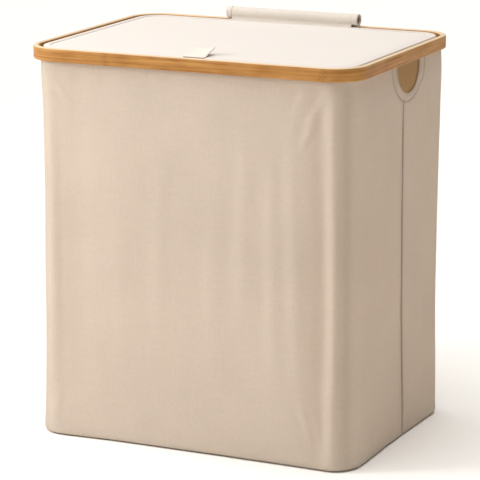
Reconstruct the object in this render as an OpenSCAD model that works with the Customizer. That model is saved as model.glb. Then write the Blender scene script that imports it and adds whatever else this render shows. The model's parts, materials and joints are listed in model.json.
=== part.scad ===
// Laundry hamper: a canvas basket hung from a bent bamboo rim, with a hinged fabric-covered lid.
// Origin: centre of the footprint on the floor. +X right, +Y rear, +Z up, millimetres.

/* [Overall size] */
// Width across the bamboo rim, left to right
rim_w = 450; // [400:5:500]
// Depth across the bamboo rim, front to rear
rim_d = 330; // [290:5:370]
// Height of the rim's top edge above the floor
rim_top = 500; // [400:10:600]
// Outer corner radius of the rim
corner_r = 43; // [42:0.5:50]

/* [Rim] */
// Thickness of the outer bamboo strip
strip_t = 7.5; // [6:0.5:8]
// Height of the outer bamboo strip
strip_h = 17; // [15:1:22]
// Rounding of the outer strip's long edges
strip_edge_r = 2.2; // [1:0.1:2.8]
// Thickness of the inner hoop that clamps the canvas hem
inner_hoop_t = 7; // [6:0.5:8]
// Brads through the inner hoop on each long side
brads_long = 4; // [2:1:6]

/* [Canvas body] */
// Thickness of the canvas
canvas_t = 1.4; // [1:0.1:1.6]
// Front-to-rear position of the two side seams
seam_y = 10; // [-10:1:15]
// Width of the bias tape over each seam
tape_w = 14; // [10:1:20]
// Thickness of the base cloth
base_cloth_t = 1.5; // [1:0.1:2]

/* [Hand holes] */
// Width of a hand hole under the rim
hole_w = 75; // [60:5:90]
// Depth of a hand hole below the rim
hole_h = 41; // [38:1:55]
// Front-to-rear position of the hand holes' middle
hole_y = 25; // [0:1:28]
// Width of the facing sewn round a hand hole
facing_w = 12; // [8:1:16]

/* [Support rods] */
// Diameter of a corner rod
rod_d = 6; // [5:0.5:6]
// Wall of the fabric sleeve that holds a rod
sleeve_t = 1; // [0.8:0.1:1.2]

/* [Base board] */
// Thickness of the removable base board
board_t = 3; // [2:0.5:4]
// Gap between the base board and the canvas
board_gap = 4; // [3:0.5:6]

/* [Lid] */
// Depth of the closed lid's top below the rim's top edge
lid_recess = 0.8; // [0.5:0.1:4]
// Gap between the outer strip and the lid's edge
lid_gap = 5; // [4:0.5:6]
// Thickness of the lid's stiffening board
lid_board_t = 3; // [2:0.5:3.5]
// Thickness of each cloth cover of the lid
lid_cloth_t = 1; // [0.8:0.1:1.2]
// Length of the hinge tube at the rear, end to end
tube_l = 188; // [140:2:240]
// Outer diameter of the hinge tube
tube_d = 15.6; // [14:0.2:15.8]
// Diameter of the wooden dowel in the hinge tube
dowel_d = 11; // [9:0.5:11]
// Width of the loop that holds the dowel at each end
loop_w = 8; // [6:1:12]

/* [Pull tab] */
// Width of the pull tab
tab_w = 29; // [20:1:40]
// Length of the pull tab
tab_l = 27; // [20:1:35]
// Left-to-right position of the pull tab's middle
tab_x = 8; // [-40:1:40]
// Angle at which the pull tab rests above the lid
tab_rise = 15; // [8:1:20]

/* [Hidden] */
$fn = 64;
play = 0.3;
snug = 0.05;
far = 2000;

// Heights. The inner hoop's top is the ledge under the lid
strip_bottom = rim_top - strip_h;
inner_hoop_h = strip_h - lid_recess - lid_board_t - 2 * lid_cloth_t - play;
ledge_z = strip_bottom + inner_hoop_h;
wall_bottom = base_cloth_t + snug;

// Insets from the rim's outer face
hem_gap = 1.5;
canvas_in = strip_t + hem_gap;
canvas_back = canvas_in + canvas_t;
inner_hoop_in = canvas_back + snug;
lid_in = strip_t + lid_gap;

// Tape, facing and binding
tape_t = 0.9;
binding_h = 12;
binding_t = 1;
tape_inner = canvas_back + snug;
tape_z = wall_bottom + binding_h + 1;

// Rods: centre at a distance from the corner's arc centre
sleeve_bore_r = rod_d / 2 + play;
sleeve_r = sleeve_bore_r + sleeve_t;
cap_wall = 1.2;
cap_r = rod_d / 2 + snug + cap_wall;
cap_h = 11;
rod_reach = corner_r - canvas_back - binding_t - max(sleeve_r, cap_r) - 0.2;
rod_bottom = wall_bottom + cap_wall;
rod_top = strip_bottom - snug - cap_wall;

// Base board
board_cover_t = 0.8;
board_z = base_cloth_t + snug;
board_in = canvas_back + board_gap;
board_corner_r = 46;

// Lid
lid_bottom = ledge_z + play;
lid_cover_z = lid_bottom + lid_cloth_t + lid_board_t;
lid_top = lid_cover_z + lid_cloth_t;
lid_rear = rim_d / 2 - lid_in;
lid_edge_t = 1;
flap_t = 1.2;

// Hinge tube
axis_y = rim_d / 2 - tube_d / 2 - 0.2;
axis_z = rim_top + tube_d / 2 + 0.4;
sleeve_l = tube_l - 2 * loop_w - 2 * play;
dowel_recess = 3;
tube_bore_r = dowel_d / 2 + play;
loop_tail_t = 1.2;
loop_tail_y = rim_d / 2 - strip_t - play / 2 - loop_tail_t;

// Brads
brad_d = 1.6;
brad_l = 14;
brad_sink = 1;
brad_side_in = 20;
brad_corner_in = 15;
brad_z = strip_bottom + inner_hoop_h / 2;

// Pull tab
tab_t = 1.2;
tab_setback = 5;
tab_y = -rim_d / 2 + lid_in + tab_setback;
tab_z = lid_top + play + tab_t / 2;
tail_t = 0.6;
tail_l = 2.8;
tail_gap = 1.7;

// Rounded rectangle of the rim's shape, drawn in from its outer face
module outline(inset, r = undef) {
    w = rim_w - 2 * inset;
    d = rim_d - 2 * inset;
    c = is_undef(r) ? corner_r - inset : r;
    union() {
        square([w - 2 * c, d], center = true);
        square([w, d - 2 * c], center = true);
        for (x = [-1, 1], y = [-1, 1])
            translate([x * (w / 2 - c), y * (d / 2 - c)]) circle(c);
    }
}

// Upright band that follows the rim's shape
module band(inset, t, h) {
    linear_extrude(h) difference() {
        outline(inset);
        outline(inset + t);
    }
}

// Flat sheet of the rim's shape
module sheet(inset, t) {
    linear_extrude(t) outline(inset);
}

// Profile of the outer strip, its outer face on the line x = 0
module strip_profile() {
    e = strip_edge_r;
    translate([-strip_t, 0]) square([strip_t - e, strip_h]);
    translate([-e, e]) square([e, strip_h - 2 * e]);
    for (z = [e, strip_h - e])
        translate([-e, z]) circle(e);
}

// Hand hole's outline in the side wall, y across and z up, grown outwards by the margin
module hand_hole_shape(margin = 0) {
    r = hole_w / 2 + margin;
    top = strip_bottom;
    arc_z = top - hole_h + hole_w / 2;
    translate([hole_y, arc_z]) circle(r);
    translate([hole_y - r, arc_z]) square([2 * r, top - arc_z]);
}

// Stand a shape drawn in y and z on a side wall, between two distances from the middle
module on_side(side, from_x, to_x) {
    start = side > 0 ? from_x : -to_x;
    translate([start, 0, 0]) rotate([90, 0, 90]) linear_extrude(to_x - from_x) children();
}

// Everything in front of or behind the side seams
module half_space(front) {
    y = front ? seam_y - snug : seam_y + snug;
    translate([-far / 2, front ? y - far : y, 0]) cube([far, far, far]);
}

// Canvas wall all round, with the hand holes and the brads' holes cut
module canvas_wall() {
    difference() {
        translate([0, 0, wall_bottom]) band(canvas_in, canvas_t, ledge_z - wall_bottom);
        for (side = [-1, 1])
            on_side(side, rim_w / 2 - canvas_back - 1, rim_w / 2 - canvas_in + 1)
                intersection() {
                    hand_hole_shape();
                    translate([-far / 2, 0]) square([far, strip_bottom]);
                }
        brads(brad_d + 2 * snug);
    }
}

// Place a child at each of the four corner rods, or at one corner
module at_corner(x, y) {
    reach = rod_reach / sqrt(2);
    translate([x * (rim_w / 2 - corner_r + reach), y * (rim_d / 2 - corner_r + reach), 0]) children();
}

// Brads, driven outwards from the inner hoop into the strip
module brads(d) {
    head_in = inner_hoop_in + inner_hoop_t - brad_sink;
    span = rim_w - 2 * corner_r - 2 * brad_side_in;
    for (i = [0 : brads_long - 1], side = [-1, 1])
        translate([-span / 2 + span * i / (brads_long - 1), side * (rim_d / 2 - head_in), brad_z])
            rotate([-90 * side, 0, 0]) cylinder(h = brad_l, d = d, $fn = 24);
    for (side = [-1, 1], y = [-1, 1])
        translate([side * (rim_w / 2 - head_in), y * (rim_d / 2 - corner_r - brad_corner_in), brad_z])
            rotate([0, 90 * side, 0]) cylinder(h = brad_l, d = d, $fn = 24);
}

module rim_hoop_outer() {
    color("#c08a4e") difference() {
        translate([0, 0, strip_bottom]) {
            for (x = [-1, 1], y = [-1, 1])
                translate([x * (rim_w / 2 - corner_r), y * (rim_d / 2 - corner_r), 0])
                    rotate([0, 0, x > 0 ? (y > 0 ? 0 : -90) : (y > 0 ? 90 : 180)])
                        rotate_extrude(angle = 90) translate([corner_r, 0]) strip_profile();
            for (side = [-1, 1]) {
                translate([side * rim_w / 2, 0, 0])
                    rotate([90, 0, side > 0 ? 0 : 180])
                        linear_extrude(rim_d - 2 * corner_r, center = true) strip_profile();
                translate([0, side * rim_d / 2, 0])
                    rotate([90, 0, 90 * side])
                        linear_extrude(rim_w - 2 * corner_r, center = true) strip_profile();
            }
        }
        brads(brad_d + 2 * snug);
    }
}

module rim_hoop_inner() {
    color("#b98a55") difference() {
        translate([0, 0, strip_bottom]) band(inner_hoop_in, inner_hoop_t, inner_hoop_h);
        brads(brad_d + 2 * snug);
    }
}

module rim_brads() {
    color("#9a9a98") brads(brad_d);
}

module body_panel(front) {
    color("#dccdb8") intersection() {
        canvas_wall();
        half_space(front);
    }
}

module seam_tape(side) {
    face = rim_w / 2 - tape_inner;
    top = strip_bottom - hole_h - facing_w - 1;
    color("#cdbda5") on_side(side, face - tape_t, face)
        translate([seam_y - tape_w / 2, tape_z]) square([tape_w, top - tape_z]);
}

module hand_hole_facing(side) {
    face = rim_w / 2 - tape_inner;
    color("#d6c6ae") on_side(side, face - tape_t, face) difference() {
        intersection() {
            hand_hole_shape(facing_w);
            translate([-far / 2, 0]) square([far, strip_bottom - snug]);
        }
        hand_hole_shape();
    }
}

module base_cloth() {
    color("#cbbca6") sheet(canvas_in, base_cloth_t);
}

module base_binding() {
    color("#c2b196") translate([0, 0, wall_bottom]) band(canvas_back + snug, binding_t - snug, binding_h);
}

module rod(x, y) {
    color("#c9ccd0") at_corner(x, y)
        translate([0, 0, rod_bottom]) cylinder(h = rod_top - rod_bottom, d = rod_d);
}

module rod_cap() {
    difference() {
        cylinder(h = cap_h, r = cap_r);
        translate([0, 0, cap_wall - snug]) cylinder(h = cap_h, d = rod_d + 2 * snug);
    }
}

module rod_end_caps() {
    color("#3a3936") for (x = [-1, 1], y = [-1, 1]) at_corner(x, y) {
        translate([0, 0, wall_bottom]) rod_cap();
        translate([0, 0, strip_bottom - snug]) mirror([0, 0, 1]) rod_cap();
    }
}

module rod_sleeve(x, y) {
    sleeve_bottom = wall_bottom + binding_h + 2;
    sleeve_top = strip_bottom - cap_h - 2;
    color("#d3c4ad") at_corner(x, y) translate([0, 0, sleeve_bottom]) difference() {
        cylinder(h = sleeve_top - sleeve_bottom, r = sleeve_r);
        translate([0, 0, -1]) cylinder(h = sleeve_top - sleeve_bottom + 2, r = sleeve_bore_r);
    }
}

module base_board() {
    z = board_z + board_cover_t + snug;
    color("#a98d64") translate([0, 0, z]) linear_extrude(board_t) outline(board_in + board_cover_t, board_corner_r - board_cover_t);
}

module base_board_cover() {
    h = board_t + 2 * board_cover_t + 2 * snug;
    z = board_z + board_cover_t;
    color("#d8cab4") difference() {
        translate([0, 0, board_z]) linear_extrude(h) outline(board_in, board_corner_r);
        translate([0, 0, z]) linear_extrude(board_t + 2 * snug)
            outline(board_in + board_cover_t - snug, board_corner_r - board_cover_t + snug);
    }
}

module hinge_dowel() {
    l = tube_l - 2 * dowel_recess;
    color("#7a5636") translate([-l / 2, axis_y, axis_z])
        rotate([0, 90, 0]) cylinder(h = l, d = dowel_d);
}

// Cloth loop round the dowel, its tail clamped between the outer strip and the canvas
module hinge_loop(side) {
    x = side * (tube_l - loop_w) / 2 - loop_w / 2;
    tail_bottom = strip_bottom + 1;
    color("#d9cbb6") translate([x, 0, 0]) rotate([90, 0, 90]) linear_extrude(loop_w) difference() {
        union() {
            translate([axis_y, axis_z]) circle(tube_d / 2);
            translate([loop_tail_y, tail_bottom]) square([loop_tail_t, axis_z - tail_bottom]);
        }
        translate([axis_y, axis_z]) circle(dowel_d / 2 + snug);
    }
}

module lid_board() {
    color("#cbb58e") translate([0, 0, lid_bottom + lid_cloth_t]) sheet(lid_in + lid_edge_t, lid_board_t - snug);
}

module lid_cover_top() {
    color("#f6efe4") translate([0, 0, lid_cover_z]) sheet(lid_in + lid_edge_t, lid_cloth_t);
}

module lid_cover_bottom() {
    color("#e9dfd0") translate([0, 0, lid_bottom]) sheet(lid_in + lid_edge_t, lid_cloth_t - snug);
}

module lid_binding() {
    color("#efe6d8") translate([0, 0, lid_bottom]) band(lid_in, lid_edge_t - snug, lid_top - lid_bottom);
}

// Flap from the lid's rear edge up to the hinge sleeve
module lid_hinge_flap() {
    flap_y = lid_rear - 2 * flap_t;
    color("#ece2d3") translate([-sleeve_l / 2, 0, 0]) rotate([90, 0, 90])
        linear_extrude(sleeve_l) difference() {
            translate([flap_y, lid_top + snug]) square([flap_t, axis_z - lid_top - snug]);
            translate([axis_y, axis_z]) circle(tube_d / 2 + snug);
        }
}

module lid_hinge_sleeve() {
    color("#e6dccd") translate([-sleeve_l / 2, axis_y, axis_z]) rotate([0, 90, 0])
        difference() {
            cylinder(h = sleeve_l, d = tube_d);
            translate([0, 0, -1]) cylinder(h = sleeve_l + 2, r = tube_bore_r);
        }
}

// Sewn end of the pull tab, fixed flat on the lid in front of the fold
module tab_tail() {
    color("#f4ecdf") translate([tab_x - tab_w / 2, tab_y - tail_gap - tail_l, lid_top + snug])
        cube([tab_w, tail_l, tail_t]);
}

module pull_tab() {
    color("#f4ecdf") translate([tab_x, tab_y, tab_z]) rotate([tab_rise, 0, 0])
        translate([-tab_w / 2, 0, -tab_t / 2]) cube([tab_w, tab_l, tab_t]);
}

rim_hoop_outer();
rim_hoop_inner();
rim_brads();
body_panel(true);  // body_panel_front
body_panel(false);  // body_panel_rear
seam_tape(-1);  // seam_tape_left
seam_tape(1);  // seam_tape_right
hand_hole_facing(-1);  // hand_hole_facing_left
hand_hole_facing(1);  // hand_hole_facing_right
base_cloth();
base_binding();
rod(-1, -1);  // rod_front_left
rod(1, -1);  // rod_front_right
rod(-1, 1);  // rod_rear_left
rod(1, 1);  // rod_rear_right
rod_end_caps();
rod_sleeve(-1, -1);  // rod_sleeve_front_left
rod_sleeve(1, -1);  // rod_sleeve_front_right
rod_sleeve(-1, 1);  // rod_sleeve_rear_left
rod_sleeve(1, 1);  // rod_sleeve_rear_right
base_board();
base_board_cover();
hinge_dowel();
hinge_loop(-1);  // hinge_loop_left
hinge_loop(1);  // hinge_loop_right
lid_board();
lid_cover_top();
lid_cover_bottom();
lid_binding();
lid_hinge_sleeve();
lid_hinge_flap();
tab_tail();
pull_tab();
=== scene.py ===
"""Looks of the laundry hamper: canvas body, bamboo rim, cloth lid. Metres, in the CAD frame."""

import json
import math

import bmesh
import bpy
import numpy as np
from mathutils import Matrix, Vector, noise
from mathutils.geometry import delaunay_2d_cdt
from mathutils.kdtree import KDTree


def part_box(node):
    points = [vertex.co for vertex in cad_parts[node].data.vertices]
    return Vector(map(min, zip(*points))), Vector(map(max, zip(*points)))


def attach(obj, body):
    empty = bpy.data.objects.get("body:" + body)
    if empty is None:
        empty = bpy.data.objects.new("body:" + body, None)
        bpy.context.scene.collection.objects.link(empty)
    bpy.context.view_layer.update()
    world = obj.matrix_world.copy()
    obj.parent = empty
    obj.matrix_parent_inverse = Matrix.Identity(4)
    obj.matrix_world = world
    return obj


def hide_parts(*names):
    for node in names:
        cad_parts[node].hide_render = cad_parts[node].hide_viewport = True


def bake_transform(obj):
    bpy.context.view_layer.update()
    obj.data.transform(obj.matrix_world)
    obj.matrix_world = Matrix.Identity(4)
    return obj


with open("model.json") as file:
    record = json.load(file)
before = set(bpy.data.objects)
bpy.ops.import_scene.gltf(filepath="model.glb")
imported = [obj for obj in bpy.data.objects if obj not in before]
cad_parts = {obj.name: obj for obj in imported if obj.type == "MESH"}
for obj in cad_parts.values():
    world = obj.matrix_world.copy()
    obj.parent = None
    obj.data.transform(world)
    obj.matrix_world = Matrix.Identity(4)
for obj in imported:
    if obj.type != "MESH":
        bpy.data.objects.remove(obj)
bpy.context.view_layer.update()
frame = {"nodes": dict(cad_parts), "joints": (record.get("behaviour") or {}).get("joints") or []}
MM = 0.001
UP = (0.0, 0.0, 1.0)
DOWN = (0.0, 0.0, -1.0)

# ---------------------------------------------------------------- sizes, from the frame
RIM_LOW, RIM_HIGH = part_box("rim_hoop_outer")
HOOP_LOW, HOOP_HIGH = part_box("rim_hoop_inner")
WALL_LOW, WALL_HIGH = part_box("body_panel_front")
CLOTH_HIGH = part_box("base_cloth")[1]
LID_LOW, LID_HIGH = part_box("lid_binding")
TUBE_LOW, TUBE_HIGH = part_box("lid_hinge_sleeve")
TAB_LOW, TAB_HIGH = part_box("pull_tab")
TAIL_LOW, TAIL_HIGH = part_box("tab_tail")
BOARD_LOW, BOARD_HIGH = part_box("base_board_cover")
FACING_LOW, FACING_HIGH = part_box("hand_hole_facing_right")

RIM_A, RIM_B, RIM_TOP, RIM_BOTTOM = RIM_HIGH.x, RIM_HIGH.y, RIM_HIGH.z, RIM_LOW.z
RIM_R = 43 * MM
STRIP_T = 7.5 * MM
WALL_A, WALL_TOP = WALL_HIGH.x, WALL_HIGH.z
WALL_B = -WALL_LOW.y
WALL_R = RIM_R - (RIM_A - WALL_A)
CANVAS_T = 1.3 * MM
SEAM_Y = WALL_HIGH.y
HOLE_Y = (FACING_LOW.y + FACING_HIGH.y) / 2
HOLE_R = 37.5 * MM
HOLE_DEPTH = 41 * MM
HOLE_ARC_Z = RIM_BOTTOM - HOLE_DEPTH + HOLE_R
FACING_W, FACING_H = 53.5 * MM, 51 * MM
AXIS_Y, AXIS_Z = (TUBE_LOW.y + TUBE_HIGH.y) / 2, (TUBE_LOW.z + TUBE_HIGH.z) / 2
TUBE_R = (TUBE_HIGH.z - TUBE_LOW.z) / 2
TAB_MIDDLE = (TAB_LOW.x + TAB_HIGH.x) / 2
TAB_PIVOT = [joint["pos_m"] for joint in frame["joints"] if joint["name"] == "tab_fold"][0]
SIDES = ((1, "right"), (-1, "left"))


# ---------------------------------------------------------------- mesh helpers
def new_piece(name, verts, faces, material, body, replaces=(), uv=None):
    """A mesh piece that rides on a body. uv gives one (u, v) in metres for each vertex."""
    mesh = bpy.data.meshes.new(name)
    mesh.from_pydata([tuple(v) for v in verts], [], [tuple(f) for f in faces])
    mesh.validate()
    if uv is not None:
        layer = mesh.uv_layers.new(name="cloth")
        index = np.zeros(len(mesh.loops), np.int32)
        mesh.loops.foreach_get("vertex_index", index)
        layer.data.foreach_set("uv", np.asarray(uv, np.float32)[index].ravel())
    mesh.polygons.foreach_set("use_smooth", [True] * len(mesh.polygons))
    obj = bpy.data.objects.new(name, mesh)
    bpy.context.scene.collection.objects.link(obj)
    obj.data.materials.append(material)
    if body:
        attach(obj, body)
    if replaces:
        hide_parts(*replaces)
    return obj


def mark(obj, depth):
    """Stores how much painted shade each point gets, for the cloth's colour."""
    layer = obj.data.attributes.new("painted_shade", "FLOAT", "POINT")
    layer.data.foreach_set("value", np.asarray(depth, np.float32))


def round_path(a, b, r, s):
    """Points and outward normals at distances s round a rounded rectangle, anticlockwise from (a, 0)."""
    straight_x, straight_y, arc = 2 * (a - r), 2 * (b - r), math.pi * r / 2
    total = 2 * (straight_x + straight_y) + 4 * arc
    s = np.mod(np.asarray(s, float), total)
    points, normals = np.zeros((len(s), 2)), np.zeros((len(s), 2))
    sides = [
        ((a, 0), (0, 1), straight_y / 2), ((a - r, b - r), 0, arc),
        ((a - r, b), (-1, 0), straight_x), ((r - a, b - r), 1, arc),
        ((-a, b - r), (0, -1), straight_y), ((r - a, r - b), 2, arc),
        ((r - a, -b), (1, 0), straight_x), ((a - r, r - b), 3, arc),
        ((a, r - b), (0, 1), straight_y / 2),
    ]
    start = 0.0
    for origin, way, length in sides:
        here = (s >= start) & (s <= start + length)
        t = s[here] - start
        if isinstance(way, tuple):
            points[here] = np.array(origin) + t[:, None] * np.array(way)
            normals[here] = (way[1], -way[0])
        else:
            angle = way * math.pi / 2 + t / r
            normals[here] = np.stack([np.cos(angle), np.sin(angle)], 1)
            points[here] = np.array(origin) + r * normals[here]
        start += length
    return points, normals


def path_length(a, b, r):
    """The way round a rounded rectangle."""
    return 4 * (a + b - 2 * r) + 2 * math.pi * r


def distances(points):
    """How far along a line each of its points lies."""
    steps = np.linalg.norm(np.diff(np.asarray(points, float), axis=0), axis=1)
    return np.concatenate([[0], np.cumsum(steps)])


def hoop(name, a, b, r, profile, material, body, replaces, step=4 * MM):
    """A closed band round a rounded rectangle. The profile is (inset, z) points, in order."""
    length = path_length(a, b, r)
    count = int(length / step)
    points, normals = round_path(a, b, r, np.arange(count) * length / count)
    girth = distances([*profile, profile[0]])
    verts, uv, faces = [], [], []
    rows = len(profile) + 1
    for i in range(count + 1):
        for j in range(rows):
            inset, z = profile[j % len(profile)]
            p = points[i % count] - normals[i % count] * inset
            verts.append((p[0], p[1], z))
            uv.append((i * length / count, girth[j]))
    for i in range(count):
        for j in range(rows - 1):
            k = i * rows + j
            faces.append((k, k + rows, k + rows + 1, k + 1))
    obj = new_piece(name, verts, faces, material, body, replaces, uv)
    weld(obj)
    return obj


def weld(obj, distance=1e-6):
    """Joins doubled points, whose UVs stay apart on their own corners."""
    bm = bmesh.new()
    bm.from_mesh(obj.data)
    bmesh.ops.remove_doubles(bm, verts=bm.verts, dist=distance)
    bmesh.ops.recalc_face_normals(bm, faces=bm.faces)
    bm.to_mesh(obj.data)
    bm.free()


def rounded_section(inset_out, inset_in, low, high, radius, turns=5):
    """(inset, z) points round a bar's section, its corners rounded."""
    corners = [
        (inset_out + radius, high - radius, 90), (inset_out + radius, low + radius, 180),
        (inset_in - radius, low + radius, 270), (inset_in - radius, high - radius, 0),
    ]
    points = []
    for x, z, start in corners:
        for k in range(turns + 1):
            angle = math.radians(start + 90 * k / turns)
            points.append((x + radius * math.cos(angle), z + radius * math.sin(angle)))
    return points


def sheet_points(outline, spacing, lines=()):
    """Points of a flat sheet inside an outline, and its triangles. Those of the rows in lines come too."""
    outline = np.asarray(outline, float)
    low, high = np.min(outline, 0), np.max(outline, 0)
    grid = []
    row_gap = 0.866
    rows = int((high[1] - low[1]) / (spacing * row_gap)) + 1
    for row in range(1, rows):
        y = low[1] + row * spacing * row_gap
        shift = spacing / 2 if row % 2 else 0.0
        grid += [(low[0] + shift + k * spacing, y) for k in range(int((high[0] - low[0]) / spacing) + 1)]
    extra = [tuple(q) for row in lines for q in row]
    extra = np.array(extra).reshape(-1, 2)
    if len(extra):
        extra = extra[inside(extra, outline) & clear_of(extra, outline, 0.0004)]
    grid = np.array(grid)
    grid = grid[inside(grid, outline)]
    fixed = np.concatenate([outline, extra])
    grid = grid[clear_of(grid, fixed, 0.55 * spacing)]
    points = [Vector(q) for q in np.concatenate([fixed, grid])]
    n = len(outline)
    edges = [(i, (i + 1) % n) for i in range(n)]
    verts, _, faces, *_ = delaunay_2d_cdt(points, edges, [], 1, 1e-7)
    return np.array([tuple(v) for v in verts]), [tuple(f) for f in faces]


def inside(points, outline):
    """Which points lie inside a closed outline."""
    result = np.zeros(len(points), bool)
    x, y = points[:, 0], points[:, 1]
    for p, q in zip(outline, np.roll(outline, -1, axis=0)):
        if p[1] == q[1]:
            continue
        crosses = (p[1] > y) != (q[1] > y)
        result ^= crosses & (x < p[0] + (y - p[1]) / (q[1] - p[1]) * (q[0] - p[0]))
    return result


def clear_of(points, others, distance):
    """Which points lie further than a distance from all the others."""
    tree = KDTree(len(others))
    for i, p in enumerate(others):
        tree.insert((p[0], p[1], 0), i)
    tree.balance()
    return np.array([tree.find((p[0], p[1], 0))[2] > distance for p in points], bool)


def thicken(verts, normals, faces, thickness, seam=()):
    """A closed shell: the sheet, its back, and a rim of faces round its edge, but none along the seam."""
    n = len(verts)
    back = verts - normals * thickness
    seam = set(seam)
    uses = {}
    for f in faces:
        for i in range(len(f)):
            pair = (f[i], f[(i + 1) % len(f)])
            uses.setdefault(frozenset(pair), []).append(pair)
    shell = list(faces) + [tuple(n + i for i in reversed(f)) for f in faces]
    for pairs in uses.values():
        a, b = pairs[0]
        if len(pairs) == 1 and not (a in seam and b in seam):
            shell.append((b, a, n + a, n + b))
    return np.concatenate([verts, back]), shell


def sheet_piece(name, flat, verts, normals, faces, thickness, material, body, replaces, seam=()):
    """A sheet of cloth with its thickness. Its flat places are the UVs on both sides."""
    shell, shell_faces = thicken(verts, normals, faces, thickness, seam)
    return new_piece(name, shell, shell_faces, material, body, replaces, np.concatenate([flat, flat]))


def level_sheet(name, flat, z, faces, thickness, material, body, node):
    """A sheet that lies level, with its top side at the heights z."""
    verts = np.column_stack([flat, z])
    normals = np.tile(UP, (len(verts), 1))
    return sheet_piece(name, flat, verts, normals, faces, thickness, material, body, [node])


def cloth_strip(name, u, v, place, thickness, material, body, replaces, loop=False):
    """A closed shell of cloth. place(u, v) gives its middle; u and v are distances along it.
    loop joins its u ends."""
    u, v = np.asarray(u, float), np.asarray(v, float)
    uu, vv = (m.ravel() for m in np.meshgrid(u, v, indexing="ij"))
    step = 0.05 * MM
    middle = place(uu, vv)
    along = place(uu + step, vv) - place(uu - step, vv)
    across = place(uu, vv + step) - place(uu, vv - step)
    normals = np.cross(along, across)
    normals /= np.linalg.norm(normals, axis=1)[:, None]
    thick = thickness(uu, vv)[:, None] if callable(thickness) else thickness
    rows = len(v)
    faces = [
        (i * rows + j, (i + 1) * rows + j, (i + 1) * rows + j + 1, i * rows + j + 1)
        for i in range(len(u) - 1) for j in range(rows - 1)
    ]
    ends = [end * rows + j for end in (0, len(u) - 1) for j in range(rows)] if loop else []
    flat = np.column_stack([uu, vv])
    outer = middle + normals * thick / 2
    obj = sheet_piece(name, flat, outer, normals, faces, thick, material, body, replaces, ends)
    weld(obj)
    return obj


def path_place(points, distance):
    """Points at distances along a polyline in space."""
    points = np.asarray(points, float)
    steps = distances(points)
    distance = np.clip(distance, 0, steps[-1])
    return np.column_stack([np.interp(distance, steps, points[:, k]) for k in range(points.shape[1])])


def polyline_length(points):
    """The whole way along a line of points."""
    return float(np.linalg.norm(np.diff(np.asarray(points, float), axis=0), axis=1).sum())


def soften(points, passes=2):
    """A polyline with its corners rounded off (Chaikin's way), its ends kept."""
    points = np.asarray(points, float)
    for _ in range(passes):
        first = points[:-1] * 0.75 + points[1:] * 0.25
        second = points[:-1] * 0.25 + points[1:] * 0.75
        middle = np.stack([first, second], 1).reshape(-1, points.shape[1])
        points = np.concatenate([points[:1], middle, points[-1:]])
    return points


def stitches(name, rows, body, material, size=(2.6, 3.6, 0.26)):
    """Sewn thread. Each row is (points, normals) along a line on the cloth. size is a stitch's length, the
    pitch from one to the next and the thread's radius, in mm. A stitch dips in at both its ends."""
    length, pitch, radius = (value * MM for value in size)
    along = np.array([-0.5, -0.36, 0.0, 0.36, 0.5]) * length
    girth = np.array([0.45, 0.9, 1.0, 0.9, 0.45]) * radius
    lift = np.array([-0.7, 0.0, 0.35, 0.0, -0.7]) * radius
    sides = 6
    angles = np.arange(sides) * 2 * math.pi / sides
    verts, faces, uv = [], [], []
    for points, normals in rows:
        points, normals = np.asarray(points, float), np.asarray(normals, float)
        total = polyline_length(points)
        steps = distances(points)
        for k in range(int(total / pitch)):
            d = (k + 0.5) * pitch
            centre, before, after = path_place(points, np.array([d, d - length / 2, d + length / 2]))
            normal = np.array([np.interp(d, steps, normals[:, c]) for c in range(3)])
            tangent = (after - before) / np.linalg.norm(after - before)
            side = np.cross(tangent, normal)
            side /= np.linalg.norm(side)
            normal = np.cross(side, tangent)
            start = len(verts)
            for x, g, up in zip(along, girth, lift):
                for angle in angles:
                    offset = normal * (up + g * math.sin(angle)) + side * g * math.cos(angle)
                    verts.append(centre + tangent * x + offset)
                    uv.append((d + x, angle * radius))
            faces += tube_faces(len(along), sides, start)
    return new_piece(name, verts, faces, material, body, (), uv)


def tube_faces(rings, sides, start=0):
    """The faces of a closed tube, whose rings of points begin at start."""
    faces = []
    for k in range(start, start + (rings - 1) * sides, sides):
        for j in range(sides):
            a, b = k + j, k + (j + 1) % sides
            faces.append((a, b, b + sides, a + sides))
    faces.append(tuple(reversed(range(start, start + sides))))
    faces.append(tuple(range(start + (rings - 1) * sides, start + rings * sides)))
    return faces


def rolled_edge(name, centres, first, second, radii, material, body, sides=10):
    """A roll of cloth along a line: at each centre an ellipse spans the first and second directions."""
    steps = distances(centres)
    verts, uv = [], []
    for k, centre in enumerate(centres):
        for j in range(sides):
            angle = 2 * math.pi * j / sides
            out = first[k] * math.cos(angle) * radii[0]
            verts.append(centre + out + second[k] * math.sin(angle) * radii[1])
            uv.append((steps[k], angle * radii[0]))
    obj = new_piece(name, verts, tube_faces(len(centres), sides), material, body, (), uv)
    weld(obj)
    return obj


def depth_in(x, y, a, b, r):
    """How far inside a rounded rectangle each place lies."""
    qx, qy = np.abs(x) - (a - r), np.abs(y) - (b - r)
    out = np.hypot(np.maximum(qx, 0), np.maximum(qy, 0)) + np.minimum(np.maximum(qx, qy), 0)
    return r - out


def plan_sheet(a, b, r, depths, spacing, step=4 * MM):
    """Points over a rounded rectangle and its triangles, with rings of points at depths inside its edge."""
    def ring(depth):
        radius = max(r - depth, 2 * MM)
        length = path_length(a - depth, b - depth, radius)
        count = int(length / step)
        return round_path(a - depth, b - depth, radius, np.arange(count) * length / count)[0]
    return sheet_points(ring(0), spacing, [ring(d) for d in depths])


def stitch_ring(a, b, r, depth, count, z, way=UP):
    """A closed row for stitches at a depth inside a rounded rectangle's edge: its points and normals."""
    a, b, r = a - depth, b - depth, r - depth
    ring, _ = round_path(a, b, r, np.arange(count + 1) * path_length(a, b, r) / count)
    return np.column_stack([ring, np.full(len(ring), z)]), np.tile(way, (len(ring), 1))


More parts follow.
